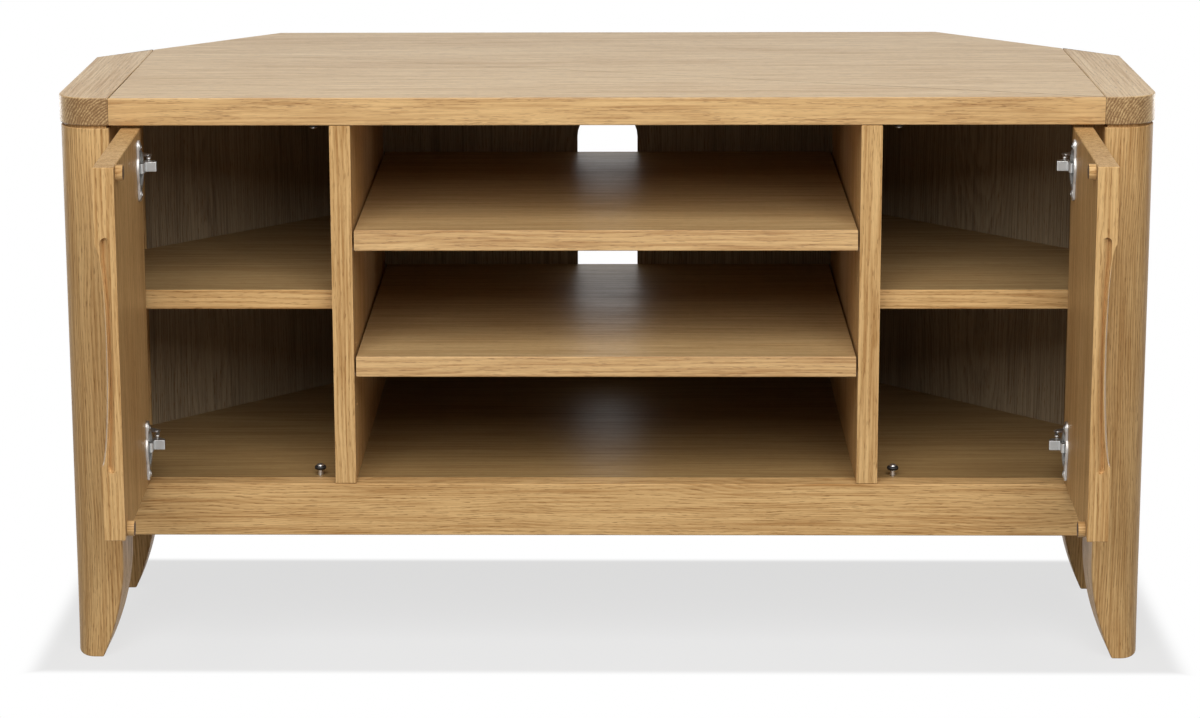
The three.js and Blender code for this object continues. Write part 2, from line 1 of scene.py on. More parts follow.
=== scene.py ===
# %% [markdown]
# A corner cabinet for a television, in oiled oak. Its top is cut back at the rear corners so that
# it fits across the corner of a room. Between the two cupboards is an open bay with a cable slot.
# This lesson dresses the measured model: it makes the rounded and polished pieces afresh as numpy
# surfaces, gives every board a solid oak whose rings run through it, and sets up a plain studio.

# %% Load the measured model
import math

import bmesh
import bpy
import numpy as np
from mathutils import Matrix, Vector


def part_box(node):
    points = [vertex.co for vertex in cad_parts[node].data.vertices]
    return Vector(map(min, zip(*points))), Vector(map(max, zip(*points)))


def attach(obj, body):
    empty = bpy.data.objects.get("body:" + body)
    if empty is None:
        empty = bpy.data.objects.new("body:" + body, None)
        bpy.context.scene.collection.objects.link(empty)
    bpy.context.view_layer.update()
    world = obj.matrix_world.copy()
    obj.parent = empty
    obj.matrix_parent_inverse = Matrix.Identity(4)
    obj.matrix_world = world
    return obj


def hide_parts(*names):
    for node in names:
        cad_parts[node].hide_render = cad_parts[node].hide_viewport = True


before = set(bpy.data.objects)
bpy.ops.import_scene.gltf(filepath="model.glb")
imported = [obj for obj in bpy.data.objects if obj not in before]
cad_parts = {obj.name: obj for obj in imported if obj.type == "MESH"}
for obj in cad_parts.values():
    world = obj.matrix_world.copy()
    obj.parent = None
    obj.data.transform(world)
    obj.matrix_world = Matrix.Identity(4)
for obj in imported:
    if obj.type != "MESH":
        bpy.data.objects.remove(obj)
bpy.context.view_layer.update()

# %% [markdown]
# The model's origin lies under the middle of its box with the doors open. A maker measures from
# the front edge of the top instead, so sizes here are in millimetres: X to the right of the
# middle, Y back from that front edge, Z up from the floor. One helper brings such points into
# the model's frame. Plan places near a hinge are easier still to give as u, from the leg's inner
# face towards the middle, and v, back from the front edge.

# %% Places and units
FRONT_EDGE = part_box("top_board")[0].y
MM = 0.001
SIDES = {"left": -1, "right": 1}
LEG_FACE = 496.0
HINGE_U, HINGE_V = 10.6, 0.6
OPEN_ANGLE = math.radians(88.4)


def in_frame(points):
    """Points in millimetres from the front edge become metres in the model's frame: each is
    scaled by a thousandth, and Y is moved by the front edge's own place."""
    points = np.asarray(points, float) * MM
    return points + np.array([0.0, FRONT_EDGE, 0.0])


def fixed_plan(side, u, v):
    """A plan place on the cabinet: X is the leg face less u, to the left or right, and Y is v."""
    return SIDES[side] * (LEG_FACE - np.asarray(u, float)), np.asarray(v, float)


def door_plan(side, u, v):
    """A place on the closed door, swung open: its offset from the hinge axis is turned by the
    opening angle, by cosine and sine, before it is placed as on the cabinet."""
    du, dv = np.asarray(u, float) - HINGE_U, np.asarray(v, float) - HINGE_V
    c, s = math.cos(OPEN_ANGLE), math.sin(OPEN_ANGLE)
    return fixed_plan(side, HINGE_U + du * c + dv * s, HINGE_V - du * s + dv * c)


print("front edge at", round(FRONT_EDGE, 5))
print("free edge of the open door at", door_plan("left", 218.3, 1))

# %% [markdown]
# Every new piece is a grid of points that closes round, with a face between each four
# neighbours. The mesh is built in place, so its object stays at the origin, and the oak can read
# the object's own coordinates. Doubled points at poles and seams are merged, and then the
# normals are turned outwards. Shading normals lean towards the larger faces, so that flat
# faces look flat right up to their eased edges.

# %% Building a piece from a grid of points


def grid_faces(rows, columns, start=0):
    """Four-cornered faces between neighbouring rows; the last column joins the first."""
    row, column = np.meshgrid(np.arange(rows - 1), np.arange(columns), indexing="ij")
    after = (column + 1) % columns
    a, b = row * columns + column, row * columns + after
    faces = np.stack([a, b, b + columns, a + columns], -1).reshape(-1, 4)
    return (faces + start).tolist()


def skin(grid):
    """A closed skin over a grid of shape (rows, columns, 3), with a face over each end row."""
    rows, columns, _ = grid.shape
    faces = grid_faces(rows, columns)
    faces.append(list(range(columns)))
    faces.append([(rows - 1) * columns + k for k in range(columns)])
    return grid.reshape(-1, 3), faces


def joined(parts):
    """Several (points, faces) pairs as one: each later list of faces counts on from the points
    before it."""
    points, faces, start = [], [], 0
    for these, theirs in parts:
        points.append(these)
        faces += [[k + start for k in face] for face in theirs]
        start += len(these)
    return np.concatenate(points), faces


def make_piece(name, part, body, material, replaces=(), angle=32):
    """Points and faces become an object that rides a body and stands for the named nodes."""
    points, faces = part
    mesh = bpy.data.meshes.new(name)
    mesh.from_pydata(in_frame(points).tolist(), [], faces)
    cleaner = bmesh.new()
    cleaner.from_mesh(mesh)
    bmesh.ops.remove_doubles(cleaner, verts=cleaner.verts, dist=2e-6)
    bmesh.ops.recalc_face_normals(cleaner, faces=cleaner.faces)
    cleaner.to_mesh(mesh)
    cleaner.free()
    mesh.shade_smooth()
    mesh.set_sharp_from_angle(angle=math.radians(angle))
    piece = bpy.data.objects.new(name, mesh)
    bpy.context.scene.collection.objects.link(piece)
    piece.data.materials.append(material)
    even = piece.modifiers.new("even shading", "WEIGHTED_NORMAL")
    even.keep_sharp = True
    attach(piece, body)
    if replaces:
        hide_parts(*replaces)
    return piece


# %% [markdown]
# Three shapes cover nearly all the joinery and fittings. A slab is an outline in plan carried
# from one level to another, drawn in along a quarter circle near both faces, which gives the
# eased edge that catches the light. A turned piece is a profile carried round an axis. A bar is
# a slab laid on its side.

# %% Outlines, slabs and turned pieces


def arc(x, y, radius, start, end, steps):
    """Points at the centre plus radius times (cosine, sine) of angles from start to end."""
    angle = np.radians(np.linspace(start, end, steps + 1))
    return np.stack([x + radius * np.cos(angle), y + radius * np.sin(angle)], -1)


def rounded(corners, radii, steps=5):
    """A polygon with its corners rounded: each corner gives way to a quadratic curve that starts
    and ends one radius away along its two sides."""
    corners = np.asarray(corners, float)
    before, after = np.roll(corners, 1, 0), np.roll(corners, -1, 0)
    share = np.linspace(0, 1, steps + 1)[:, None]
    out = []
    for corner, p, n, radius in zip(corners, before, after, np.broadcast_to(radii, len(corners))):
        a = corner + (p - corner) / np.linalg.norm(p - corner) * radius
        b = corner + (n - corner) / np.linalg.norm(n - corner) * radius
        out.append((1 - share) ** 2 * a + 2 * share * (1 - share) * corner + share**2 * b)
    return np.concatenate(out)


def drawn_in(outline, inset):
    """An outline moved inwards: each point goes along the mean of its two sides' inward
    normals, lengthened so that both sides move by the inset."""
    back = outline - np.roll(outline, 1, 0)
    ahead = np.roll(outline, -1, 0) - outline
    x, y = outline[:, 0], outline[:, 1]
    turn = np.sign(np.sum(x * np.roll(y, -1) - np.roll(x, -1) * y))
    normals = [np.stack([-d[:, 1], d[:, 0]], -1) * turn for d in (back, ahead)]
    units = [n / np.maximum(np.linalg.norm(n, axis=1, keepdims=True), 1e-9) for n in normals]
    mean = units[0] + units[1]
    mean /= np.maximum(np.linalg.norm(mean, axis=1, keepdims=True), 1e-9)
    stretch = 1 / np.maximum(np.sum(mean * units[0], 1), 0.5)
    return outline + mean * (inset * stretch)[:, None]


def slab(outline, low, high, edge=1.0, steps=3, axis="z"):
    """An outline carried from low to high. Near each face it is drawn in by edge times one less
    the sine, while the level is edge times one less the cosine from the face."""
    turn = np.radians(np.linspace(0, 90, steps + 1))
    inset = edge * (1 - np.sin(turn))
    level = low + edge * (1 - np.cos(turn))
    insets = np.concatenate([inset, inset[::-1]])
    levels = np.concatenate([level, (low + high) - level[::-1]])
    rings = np.stack([drawn_in(outline, d) for d in insets])
    height = np.broadcast_to(levels[:, None, None], (*rings.shape[:2], 1))
    grid = np.concatenate([rings, height], -1)
    order = {"z": (0, 1, 2), "y": (0, 2, 1), "x": (2, 0, 1)}[axis]
    return skin(grid[:, :, list(order)])


def turned(profile, centre, direction, steps=40):
    """A profile of (radius, height) carried round an axis: each point is the centre, plus its
    height along the direction, plus its radius times the cosine and sine across it."""
    profile, direction = np.asarray(profile, float), Vector(direction).normalized()
    across = direction.orthogonal().normalized()
    third = np.array(direction.cross(across))
    angle = np.linspace(0, 2 * math.pi, steps, endpoint=False)
    ring = np.cos(angle)[:, None] * np.array(across) + np.sin(angle)[:, None] * third
    grid = profile[:, 0, None, None] * ring + profile[:, 1, None, None] * np.array(direction)
    return skin(grid + np.asarray(centre, float))


def door_slab(side, outline, low, high, edge=0.6):
    """A slab on the door: its plan outline is given for the closed door and swung open."""
    x, y = door_plan(side, outline[:, 0], outline[:, 1])
    return slab(np.stack([x, y], -1), low, high, edge)


def fixed_slab(side, outline, low, high, edge=0.6):
    """A slab on the cabinet, its plan outline given in u and v."""
    x, y = fixed_plan(side, outline[:, 0], outline[:, 1])
    return slab(np.stack([x, y], -1), low, high, edge)


print("helpers ready")

# %% [markdown]
# Oak is the whole look of this cabinet. Real oak is a stack of year rings round a pith: a band of
# open, darker early wood and a band of dense, paler late wood. Painting a flat picture on each
# face would break at the corners, so the oak is solid. A point's distance from the pith,
# disturbed by slow noise along the grain, tells which ring it lies in. A face cut along the
# grain then shows lines and arched figure, and a face cut across it shows arcs by itself. Wide
# boards are glued from staves, so each stave starts at its own place in the tree. The group
# gives out colour, roughness and a height for the pores.

# %% The oak node group


class Nodes:
    """Small helper that adds and links nodes in one tree."""

    def __init__(self, tree):
        self.tree = tree

    def put(self, value, socket):
        if hasattr(value, "is_output"):
            self.tree.links.new(value, socket)
        else:
            socket.default_value = value

    def add(self, kind, **settings):
        node = self.tree.nodes.new(kind)
        for key, value in settings.items():
            setattr(node, key, value)
        return node

    def math(self, operation, *values):
        node = self.add("ShaderNodeMath", operation=operation)
        for value, socket in zip(values, node.inputs):
            self.put(value, socket)
        return node.outputs[0]

    def vector(self, x, y, z):
        node = self.add("ShaderNodeCombineXYZ")
        for value, socket in zip((x, y, z), node.inputs):
            self.put(value, socket)
        return node.outputs[0]

    def noise(self, vector, scale, detail=2.0, roughness=0.5):
        node = self.add("ShaderNodeTexNoise")
        self.put(vector, node.inputs["Vector"])
        node.inputs["Scale"].default_value = scale
        node.inputs["Detail"].default_value = detail
        node.inputs["Roughness"].default_value = roughness
        return node.outputs["Fac"]

    def ramp(self, value, low, high, to_low=0.0, to_high=1.0):
        node = self.add("ShaderNodeMapRange", interpolation_type="SMOOTHSTEP")
        for item, socket in zip((value, low, high, to_low, to_high), node.inputs):
            self.put(item, socket)
        return node.outputs[0]

    def mix(self, share, a, b, blend="MIX"):
        node = self.add("ShaderNodeMix", data_type="RGBA", blend_type=blend)
        self.put(share, node.inputs[0])
        self.put(a, node.inputs[6])
        self.put(b, node.inputs[7])
        return node.outputs[2]


def new_group(name, inputs, outputs):
    """An empty shader group with named sockets; inputs are (name, kind, default)."""
    group = bpy.data.node_groups.new(name, "ShaderNodeTree")
    for label, kind, default in inputs:
        socket = group.interface.new_socket(label, in_out="INPUT", socket_type=kind)
        if default is not None:
            socket.default_value = default
    for label, kind in outputs:
        group.interface.new_socket(label, in_out="OUTPUT", socket_type=kind)
    nodes = Nodes(group)
    return nodes, nodes.add("NodeGroupInput").outputs, nodes.add("NodeGroupOutput").inputs


def build_oak_group():
    """Ring number = (distance from the pith + slow wander + small jitter) / ring width. Each
    ring runs from a porous dark edge to pale wood. Fibres are noise stretched along the grain,
    and pores are short dark flecks that crowd at the ring's dark edge."""
    n, given, out = new_group(
        "oak figure",
        [("Vector", "NodeSocketVector", None), ("Pale", "NodeSocketColor", None),
         ("Deep", "NodeSocketColor", None), ("Ring Width", "NodeSocketFloat", 0.003),
         ("Wander", "NodeSocketFloat", 0.01), ("Contrast", "NodeSocketFloat", 0.6),
         ("Stave Width", "NodeSocketFloat", 0.09), ("Stave Tint", "NodeSocketFloat", 0.3),
         ("End Grain", "NodeSocketFloat", 0.0)],
        [("Color", "NodeSocketColor"), ("Roughness", "NodeSocketFloat"),
         ("Height", "NodeSocketFloat")],
    )
    parts = n.add("ShaderNodeSeparateXYZ")
    n.put(given["Vector"], parts.inputs[0])
    x, y, z = parts.outputs
    stave = n.math("FLOOR", n.math("DIVIDE", y, given["Stave Width"]))
    luck = n.add("ShaderNodeTexWhiteNoise", noise_dimensions="1D")
    n.put(stave, luck.inputs["W"])
    hue = n.add("ShaderNodeSeparateColor")
    n.put(luck.outputs["Color"], hue.inputs[0])
    one, two, three = hue.outputs
    along = n.math("ADD", x, n.math("MULTIPLY", one, 7.0))
    width = n.math("ADD", y, n.math("MULTIPLY", n.math("SUBTRACT", two, 0.5), 0.05))
    depth = n.math("ADD", z, n.math("MULTIPLY", three, 0.03))

    def stretched(lengthwise, crosswise, detail, roughness=0.5):
        place = n.vector(n.math("MULTIPLY", along, lengthwise),
                         n.math("MULTIPLY", width, crosswise),
                         n.math("MULTIPLY", depth, crosswise))
        return n.math("SUBTRACT", n.noise(place, 1.0, detail, roughness), 0.5)

    pith = n.math("SQRT", n.math("ADD", n.math("MULTIPLY", width, width),
                                 n.math("MULTIPLY", depth, depth)))
    slow = n.math("MULTIPLY", stretched(2.4, 11.0, 2.0), given["Wander"])
    jitter = n.math("MULTIPLY", stretched(14.0, 130.0, 3.0, 0.6), 0.004)
    radius = n.math("ADD", n.math("ADD", pith, slow), jitter)
    ring = n.math("FRACT", n.math("DIVIDE", radius, given["Ring Width"]))
    early = n.math("MULTIPLY", n.ramp(ring, 0.0, 0.15), n.ramp(ring, 0.2, 0.9, 1.0, 0.0))
    fibre = stretched(12.0, 520.0, 3.0, 0.6)
    streak = stretched(5.0, 190.0, 3.0, 0.6)
    cloud = stretched(2.5, 18.0, 2.0)
    pore = stretched(90.0, 1300.0, 1.0)
    pores = n.math("MULTIPLY", n.ramp(pore, 0.06, 0.16), n.math("ADD", 0.4, early))
    strength = n.math("ADD", given["Contrast"], n.math("MULTIPLY", given["End Grain"], 0.9))
    band = n.math("MULTIPLY", early, strength)
    tone = n.math("ADD", band, n.math("MULTIPLY", fibre, 2.0))
    tone = n.math("ADD", tone, n.math("MULTIPLY", streak, 1.6))
    tone = n.math("ADD", tone, n.math("MULTIPLY", cloud, 0.7))
    tint = n.math("MULTIPLY", n.math("SUBTRACT", three, 0.5), given["Stave Tint"])
    share = n.ramp(n.math("ADD", tone, tint), -0.55, 1.1)
    colour = n.mix(share, given["Pale"], given["Deep"])
    ends = n.mix(n.math("MULTIPLY", given["End Grain"], n.math("ADD", 0.3, share)), colour,
                 (0.17, 0.085, 0.03, 1.0))
    dark = n.mix(n.math("MULTIPLY", pores, 0.4), ends, (0.17, 0.075, 0.02, 1.0))
    n.put(dark, out["Color"])
    n.put(n.math("ADD", 0.36, n.math("MULTIPLY", share, 0.16)), out["Roughness"])
    hollow = n.math("ADD", pores, n.math("MULTIPLY", band, 0.3))
    n.put(n.math("MULTIPLY", hollow, -1.0), out["Height"])
    return n.tree


OAK = build_oak_group()
print("oak group has", len(OAK.nodes), "nodes")

# %% [markdown]
# A board's grain may run along any axis. The Mapping node turns the board's coordinates so that
# the first one follows the grain, the second crosses the face and the third goes through the
# thickness. It also moves them, so that the pith lies at a chosen place beside the board. A pith
# far off to the side gives straight fine lines, and one under the face gives arches. Oil leaves
# a soft sheen, which is the shader's own roughness and a thin coat. On the top, a paler oak
# adds a painted sheen.

# %% Oak materials
PALE, DEEP = (0.71, 0.46, 0.205), (0.375, 0.19, 0.062)
# The backs, centre shelves, side shelves and bottom board take darker oak than the fronts. This is
# partly their own duller tone and partly painted shade of the cabinet's insides. The backs, side
# shelves and bottom board are about half as bright as the fronts, and the centre shelves about 85
# per cent.
BACK_DULL_SHADED_PALE, BACK_DULL_SHADED_DEEP = (0.38, 0.30, 0.19), (0.19, 0.14, 0.09)
SHELF_DULL_SHADED_PALE, SHELF_DULL_SHADED_DEEP = (0.60, 0.415, 0.20), (0.345, 0.195, 0.072)
SIDE_DULL_SHADED_PALE, SIDE_DULL_SHADED_DEEP = (0.38, 0.265, 0.125), (0.215, 0.12, 0.045)
# The top's oak is paler and greyer than the fronts'. This is a painted sheen on the top and its
# caps.
TOP_SHEEN_PALE, TOP_SHEEN_DEEP = (0.73, 0.51, 0.25), (0.42, 0.235, 0.085)
FLOOR_DULL_SHADED_PALE, FLOOR_DULL_SHADED_DEEP = (0.38, 0.25, 0.105), (0.207, 0.112, 0.038)
AXES = {"x": Vector((1, 0, 0)), "y": Vector((0, 1, 0)), "z": Vector((0, 0, 1))}


def grain_turn(along, across):
    """The turn whose rows are the grain's direction, the face's width and their cross product."""
    a, b = AXES[along], AXES[across]
    return Matrix((a, b, a.cross(b)))


def oak_material(node, along, across, side=0.16, under=0.03, shift=0.3, pale=PALE, deep=DEEP,
                 ring=0.0026, wander=0.02, contrast=0.35, stave=0.6, tint=0.25, coat=0.05, end=0.0,
                 gloss=0.05, plain_front=False):
    """Oak for one board. Its coordinates are turned to the grain, and moved so that the board's
    middle lies to the side of the pith and under it by the given metres. With a plain front, faces
    turned to the front take the fronts' oak. The board's other faces keep its own colours, which
    carry painted shade on the shelves and a painted sheen on the top."""
    material = bpy.data.materials.new(f"oak {node.replace('_', ' ')}")
    material.use_nodes = True
    n = Nodes(material.node_tree)
    shader = material.node_tree.nodes["Principled BSDF"]
    coordinates = n.add("ShaderNodeTexCoord").outputs
    mapping = n.add("ShaderNodeMapping")
    n.put(coordinates["Object"], mapping.inputs["Vector"])
    turn = grain_turn(along, across)
    low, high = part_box(node)
    middle = turn @ ((low + high) / 2)
    mapping.inputs["Rotation"].default_value = turn.to_euler("XYZ")
    mapping.inputs["Location"].default_value = Vector((shift, side, under)) - middle
    oak = n.add("ShaderNodeGroup", node_tree=OAK)
    n.put(mapping.outputs[0], oak.inputs["Vector"])
    oak.inputs["Pale"].default_value = (*pale, 1)
    oak.inputs["Deep"].default_value = (*deep, 1)
    for label, value in (("Ring Width", ring), ("Wander", wander), ("Contrast", contrast),
                         ("Stave Width", stave), ("Stave Tint", tint)):
        oak.inputs[label].default_value = value
    # Faces turned to the front keep the fronts' oak. Only the other faces carry the board's
    # painted shade (shelves) or painted sheen (top).
    if plain_front:
        front = n.add("ShaderNodeSeparateXYZ")
        n.put(coordinates["Normal"], front.inputs[0])
        edge = n.ramp(n.math("MULTIPLY", front.outputs["Y"], -1.0), 0.3, 0.7)
        n.put(n.mix(edge, (*pale, 1), (*PALE, 1)), oak.inputs["Pale"])
        n.put(n.mix(edge, (*deep, 1), (*DEEP, 1)), oak.inputs["Deep"])
    if end:
        facing = n.add("ShaderNodeVectorMath", operation="DOT_PRODUCT")
        n.put(coordinates["Normal"], facing.inputs[0])
        facing.inputs[1].default_value = AXES[along]
        n.put(n.ramp(n.math("ABSOLUTE", facing.outputs["Value"]), 0.5, 0.85, 0.0, end),
              oak.inputs["End Grain"])
    bump = n.add("ShaderNodeBump")
    bump.inputs["Strength"].default_value = 0.3
    bump.inputs["Distance"].default_value = 0.0002
    n.put(oak.outputs["Height"], bump.inputs["Height"])
    n.put(oak.outputs["Color"], shader.inputs["Base Color"])
    n.put(oak.outputs["Roughness"], shader.inputs["Roughness"])
    n.put(bump.outputs[0], shader.inputs["Normal"])
    shader.inputs["Coat Weight"].default_value = coat
    shader.inputs["Coat Roughness"].default_value = 0.3
    shader.inputs["Specular IOR Level"].default_value = gloss
    return material


# %% [markdown]
# Plain boards keep their measured shape, because their corners are crisp and nothing on them is
# round. They only take their oak. The rail is cut from a wandering stem, the backs are wide
# flat-sawn boards, and the doors are glued from upright staves. The backs, the shelves and the
# bottom board take darker oak, which is partly their own duller tone and partly painted shade.

# %% Dress the plain boards
boards = {
    "front_rail": dict(along="x", across="z", side=0.11, under=0.02, wander=0.06, contrast=0.3),
    "bottom_board": dict(along="x", across="y", side=0.35, shift=0.8,
                         pale=FLOOR_DULL_SHADED_PALE, deep=FLOOR_DULL_SHADED_DEEP, gloss=0.5),
    "centre_shelf_upper": dict(along="x", across="y", side=0.33, shift=1.4,
                               pale=SHELF_DULL_SHADED_PALE, deep=SHELF_DULL_SHADED_DEEP, gloss=0.5, plain_front=True),
    "centre_shelf_lower": dict(along="x", across="y", side=0.36, shift=2.3,
                               pale=SHELF_DULL_SHADED_PALE, deep=SHELF_DULL_SHADED_DEEP, gloss=0.5, plain_front=True),
    "side_shelf_left": dict(along="x", across="y", side=0.31, shift=3.1,
                            pale=SIDE_DULL_SHADED_PALE, deep=SIDE_DULL_SHADED_DEEP, plain_front=True),
    "side_shelf_right": dict(along="x", across="y", side=0.34, shift=4.2,
                             pale=SIDE_DULL_SHADED_PALE, deep=SIDE_DULL_SHADED_DEEP, plain_front=True),
    "partition_left": dict(along="z", across="y", side=0.32, shift=5.0),
    "partition_right": dict(along="z", across="y", side=0.35, shift=6.1),
    "side_panel_left": dict(along="z", across="y", side=0.2, shift=7.2),
    "side_panel_right": dict(along="z", across="y", side=0.22, shift=8.3),
    "centre_back_panel": dict(along="z", across="x", side=0.05, under=0.05, shift=1.9,
                              pale=BACK_DULL_SHADED_PALE, deep=BACK_DULL_SHADED_DEEP, stave=0.15, wander=0.04),
    "angled_back_left": dict(along="z", across="x", side=0.03, under=0.06, shift=2.9,
                             pale=BACK_DULL_SHADED_PALE, deep=BACK_DULL_SHADED_DEEP, stave=0.13, wander=0.04),
    "angled_back_right": dict(along="z", across="x", side=0.04, under=0.05, shift=3.9,
                              pale=BACK_DULL_SHADED_PALE, deep=BACK_DULL_SHADED_DEEP, stave=0.13, wander=0.04),
    "door_left": dict(along="z", across="y", side=0.2, under=0.04, shift=4.9, stave=0.11),
    "door_right": dict(along="z", across="y", side=0.22, under=0.04, shift=5.8, stave=0.11),
}
for node, figure in boards.items():
    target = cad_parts[node]
    target.data.materials.clear()
    target.data.materials.append(oak_material(node, **figure))
print("dressed", len(boards), "boards")

# %% [markdown]
# The fittings are nickel plated or satin steel, the catch rings are black rubber, and the pegs'
# sawn ends are darker because end grain drinks more oil. None of them is perfectly even: plating
# has a fine brushed wear, and rubber and sawn wood are grainy. One group makes that unevenness
# out of two noises. It gives a roughness round the wanted one, and a height for the bump.

# %% Metal, rubber and end grain


def build_wear_group():
    """Roughness = base + spread * (fine noise + half of the broad noise - 0.75), and the height
    is the fine noise."""
    n, given, out = new_group(
        "fine wear",
        [("Vector", "NodeSocketVector", None), ("Base", "NodeSocketFloat", 0.3),
         ("Spread", "NodeSocketFloat", 0.2), ("Grain", "NodeSocketFloat", 900.0)],
        [("Roughness", "NodeSocketFloat"), ("Height", "NodeSocketFloat")],
    )
    scaled = n.add("ShaderNodeVectorMath", operation="SCALE")
    n.put(given["Vector"], scaled.inputs[0])
    n.put(given["Grain"], scaled.inputs["Scale"])
    fine = n.noise(scaled.outputs[0], 1.0, 3.0, 0.6)
    broad = n.noise(scaled.outputs[0], 0.12, 2.0)
    mixed = n.math("SUBTRACT", n.math("ADD", fine, n.math("MULTIPLY", broad, 0.5)), 0.75)
    swing = n.math("MULTIPLY", mixed, given["Spread"])
    n.put(n.math("ADD", given["Base"], swing), out["Roughness"])
    n.put(fine, out["Height"])
    return n.tree


WEAR = build_wear_group()


def fitting_material(name, colour, base, spread, grain, metallic=0.0, depth=0.00002):
    """A finish whose roughness and fine bumps come from the wear group."""
    material = bpy.data.materials.new(name)
    material.use_nodes = True
    n = Nodes(material.node_tree)
    shader = material.node_tree.nodes["Principled BSDF"]
    wear = n.add("ShaderNodeGroup", node_tree=WEAR)
    n.put(n.add("ShaderNodeTexCoord").outputs["Object"], wear.inputs["Vector"])
    for label, value in (("Base", base), ("Spread", spread), ("Grain", grain)):
        wear.inputs[label].default_value = value
    bump = n.add("ShaderNodeBump")
    bump.inputs["Strength"].default_value = 0.5
    bump.inputs["Distance"].default_value = depth
    n.put(wear.outputs["Height"], bump.inputs["Height"])
    n.put(wear.outputs["Roughness"], shader.inputs["Roughness"])
    n.put(bump.outputs[0], shader.inputs["Normal"])
    shader.inputs["Base Color"].default_value = (*colour, 1)
    shader.inputs["Metallic"].default_value = metallic
    return material


nickel = fitting_material("plated nickel", (0.62, 0.615, 0.60), 0.40, 0.25, 1200, 1.0)
satin = fitting_material("satin steel", (0.52, 0.52, 0.51), 0.42, 0.3, 1500, 1.0)
rubber = fitting_material("black rubber", (0.012, 0.012, 0.013), 0.55, 0.3, 2500, 0.0, 0.00005)
end_grain = fitting_material("peg end grain", (0.10, 0.055, 0.024), 0.7, 0.3, 1800, 0.0, 0.0001)
peg_oak = oak_material("strike_peg_left_upper", "x", "z", 0.03, 0.02, ring=0.002, end=0.6)
print("fitting materials ready")

# %% [markdown]
# The top is a main board with the grain running along it, closed at each end by a cap whose grain
# runs front to back. The caps' outer front corners are rounded to a big radius, and all long
# edges are eased. The joint between cap and board stays open by a hair, which draws a dark line.

# %% The top and its end caps
HALF, CAP_JOINT, DEPTH, SIDE_DEPTH, BACK_HALF = 550.0, 496.0, 450.0, 270.0, 370.0
UNDERSIDE, HEIGHT, TOP_RADIUS, HAIR = 557.0, 585.0, 37.0, 0.15
joint_x = CAP_JOINT - HAIR
joint_y = SIDE_DEPTH + HALF - joint_x
board = [(-joint_x, 0), (joint_x, 0), (joint_x, joint_y), (BACK_HALF, DEPTH),
         (-BACK_HALF, DEPTH), (-joint_x, joint_y)]
board = rounded(board, [0.4, 0.4, 0.4, 1.5, 1.5, 0.4], 3)
# The top and its caps take the paler oak of painted sheen. The top's front edge keeps the fronts'
# oak.
top_oak = oak_material("top_board", "x", "y", 0.6, 0.02, ring=0.0022, wander=0.012,
                       contrast=0.2, stave=1.5, pale=TOP_SHEEN_PALE, deep=TOP_SHEEN_DEEP, coat=0.2,
                       gloss=0.3, plain_front=True)
make_piece("made_top_board", slab(board, UNDERSIDE, HEIGHT, 1.4, 4), "cabinet",
           top_oak, ["top_board"])
for side, sign in SIDES.items():
    inner = CAP_JOINT + HAIR
    corner = arc(HALF - TOP_RADIUS, TOP_RADIUS, TOP_RADIUS, -90, 0, 28)
    rear = rounded([(inner, 0), (HALF, SIDE_DEPTH), (inner, SIDE_DEPTH + HALF - inner)], 0.6, 3)
    cap = np.concatenate([[(inner, 0)], corner, rear[4:]]) * [sign, 1]
    node = f"top_end_cap_{side}"
    cap_oak = oak_material(node, "y", "x", -0.028, -0.055, shift=9 + sign, ring=0.0027,
                           wander=0.006, contrast=0.15, coat=0.2, end=0.65, gloss=0.3,
                           pale=TOP_SHEEN_PALE, deep=TOP_SHEEN_DEEP)
    make_piece(f"made_end_cap_{side}", slab(cap, UNDERSIDE, HEIGHT, 1.4, 4), "cabinet",
               cap_oak, [node])
print("top made of three pieces")

# %% [markdown]
# A leg is square in plan apart from its outer front corner, which follows the top's radius. The
# foot sweeps in on the inner side only, along a parabola below the rail. Under the top a narrow
# neck leaves a shadow line. One surface does it all: the outline in plan is carried upwards, its
# inner points are pushed outwards by the sweep, and the outline is drawn in at the neck.

# %% The legs
SWEEP_TOP, SWEEP_IN, NECK, NECK_IN = 105.0, 23.5, 3.0, 3.0
REVEAL, LEG_EASE, FOOT_EASE, HEAD_EASE = 1.0, 2.5, 1.2, 1.0
FRONT_LEG, REAR_LEG = (1, 71), (229, 269)


def leg(sign, front, back, corner_radius):
    """Rows of the plan outline at rising levels. Inner points move out by the sweep times the
    square of the share of the way down from its top, scaled by how far in they lie."""
    outer, inner, small = HALF - REVEAL, CAP_JOINT, LEG_EASE
    plan = np.concatenate([
        arc(inner + small, front + small, small, 180, 270, 5),
        arc(outer - corner_radius, front + corner_radius, corner_radius, 270, 360, 22),
        arc(outer - small, back - small, small, 0, 90, 5),
        arc(inner + small, back - small, small, 90, 180, 5),
    ])
    shoulder, top = UNDERSIDE - NECK, UNDERSIDE - 0.3
    turn = np.radians(np.linspace(0, 90, 5))
    foot = [(FOOT_EASE * (1 - math.sin(t)), FOOT_EASE * (1 - math.cos(t))) for t in turn]
    sweep = [(0.0, z) for z in np.linspace(4, SWEEP_TOP, 22)]
    head = [(HEAD_EASE * (1 - math.cos(t)), shoulder - HEAD_EASE * (1 - math.sin(t)))
            for t in turn]
    neck = [(NECK_IN, shoulder), (NECK_IN, top)]
    rows = []
    for inset, z in foot + sweep + head + neck:
        ring = drawn_in(plan, inset)
        share = np.clip((outer - ring[:, 0]) / (outer - inner), 0, 1)
        push = SWEEP_IN * max(0.0, 1 - z / SWEEP_TOP) ** 2
        x = sign * (ring[:, 0] + push * share)
        rows.append(np.stack([x, ring[:, 1], np.full(len(ring), z)], -1))
    return skin(np.stack(rows))


